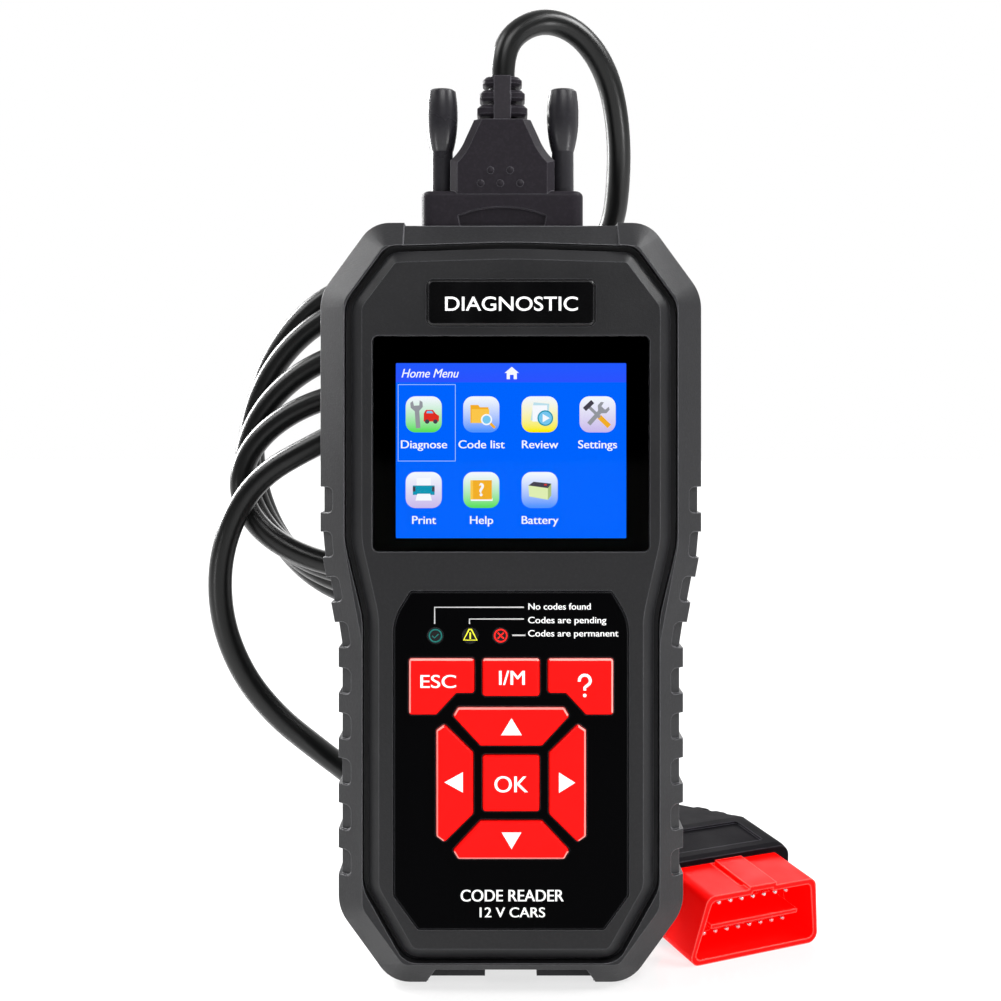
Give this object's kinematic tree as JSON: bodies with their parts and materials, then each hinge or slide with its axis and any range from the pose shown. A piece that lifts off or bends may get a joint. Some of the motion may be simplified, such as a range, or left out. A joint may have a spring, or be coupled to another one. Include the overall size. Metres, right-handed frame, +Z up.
{
  "type": "handheld vehicle code reader",
  "caption": "Handheld vehicle diagnostic code reader with a colour screen, red keypad, rubber bumper and a coiled lead to its vehicle plug.",
  "frame": {"origin": "on the floor under the middle of the case, which stands upright on its two feet", "axes": "+Z up along the case, +X to the right of someone facing the screen, -Y out of the screen"},
  "size_m": [0.1786, 0.1381, 0.2671],
  "materials": {
    "case_plastic": "fine texture, satin",
    "bumper_rubber": "fine texture, matt",
    "gloss_black": "polished",
    "lens_clear": "polished",
    "mask_black": "printed",
    "lcd_screen": "lit display",
    "lcd_metal": "satin",
    "flex_amber": "film",
    "key_red": "satin",
    "silicone_grey": "matt",
    "board_green": "solder mask",
    "chip_black": "matt",
    "component_metal": "satin",
    "light_guide": "clear",
    "screw_steel": "black zinc",
    "label_silver": "printed film",
    "nickel": "plated",
    "gold": "plated",
    "insulator_black": "satin",
    "hood_black": "moulded, satin",
    "knob_black": "moulded, satin",
    "cord_black": "satin jacket",
    "strap_black": "woven strap",
    "obd_red": "moulded",
    "obd_black": "moulded, satin"
  },
  "bodies": {
    "reader": {"bumper": "bumper_rubber", "front_cover": "case_plastic", "rear_cover": "case_plastic", "badge_plate": "gloss_black", "screen_lens": "lens_clear", "screen_mask": "mask_black", "lcd_panel": "lcd_screen", "lcd_frame": "lcd_metal", "lcd_flex": "flex_amber", "keypad_plate": "gloss_black", "keypad_membrane": "silicone_grey", "led_green": "light_guide", "led_yellow": "light_guide", "led_red": "light_guide", "main_board": "board_green", "processor": "chip_black", "memory_chip": "chip_black", "signal_chips": "chip_black", "crystal": "component_metal", "buzzer": "chip_black", "power_parts": "component_metal", "case_screws": "screw_steel", "board_screws": "screw_steel", "usb_shell": "component_metal", "usb_tongue": "insulator_black", "rating_label": "label_silver", "port_shell": "nickel", "port_insulator": "insulator_black", "port_pins": "gold", "jack_nuts": "nickel", "dsub_shell": "nickel", "dsub_insulator": "insulator_black", "dsub_hood": "hood_black", "lead_arc": "cord_black", "lead_run": "cord_black", "lead_coil": "cord_black", "cable_tie": "strap_black", "obd_shroud": "obd_red", "obd_insert": "obd_red", "obd_pins": "nickel", "obd_hood": "obd_black"},
    "key_esc": {"key_esc": "key_red"},
    "key_help": {"key_help": "key_red"},
    "key_monitor": {"key_monitor": "key_red"},
    "key_up": {"key_up": "key_red"},
    "key_down": {"key_down": "key_red"},
    "key_left": {"key_left": "key_red"},
    "key_right": {"key_right": "key_red"},
    "key_ok": {"key_ok": "key_red"},
    "thumbscrew_left": {"thumbscrew_knob_left": "knob_black", "thumbscrew_shaft_left": "nickel"},
    "thumbscrew_right": {"thumbscrew_knob_right": "knob_black", "thumbscrew_shaft_right": "nickel"}
  },
  "joints": [
    {"name": "key_esc_press", "type": "slide", "parent": "reader", "child": "key_esc", "axis": [0, 1, 0], "range_m": [0, 0.0008], "stiffness_N_per_m": 600},
    {"name": "key_help_press", "type": "slide", "parent": "reader", "child": "key_help", "axis": [0, 1, 0], "range_m": [0, 0.0008], "stiffness_N_per_m": 600},
    {"name": "key_monitor_press", "type": "slide", "parent": "reader", "child": "key_monitor", "axis": [0, 1, 0], "range_m": [0, 0.0008], "stiffness_N_per_m": 600},
    {"name": "key_up_press", "type": "slide", "parent": "reader", "child": "key_up", "axis": [0, 1, 0], "range_m": [0, 0.0008], "stiffness_N_per_m": 600},
    {"name": "key_down_press", "type": "slide", "parent": "reader", "child": "key_down", "axis": [0, 1, 0], "range_m": [0, 0.0008], "stiffness_N_per_m": 600},
    {"name": "key_left_press", "type": "slide", "parent": "reader", "child": "key_left", "axis": [0, 1, 0], "range_m": [0, 0.0008], "stiffness_N_per_m": 600},
    {"name": "key_right_press", "type": "slide", "parent": "reader", "child": "key_right", "axis": [0, 1, 0], "range_m": [0, 0.0008], "stiffness_N_per_m": 600},
    {"name": "key_ok_press", "type": "slide", "parent": "reader", "child": "key_ok", "axis": [0, 1, 0], "range_m": [0, 0.0008], "stiffness_N_per_m": 600},
    {"name": "thumbscrew_left_turn", "type": "hinge", "parent": "reader", "child": "thumbscrew_left", "pos_m": [-0.01895, 0, 0.2034], "axis": [0, 0, 1], "continuous": true},
    {"name": "thumbscrew_right_turn", "type": "hinge", "parent": "reader", "child": "thumbscrew_right", "pos_m": [0.01435, 0, 0.2034], "axis": [0, 0, 1], "continuous": true}
  ]
}
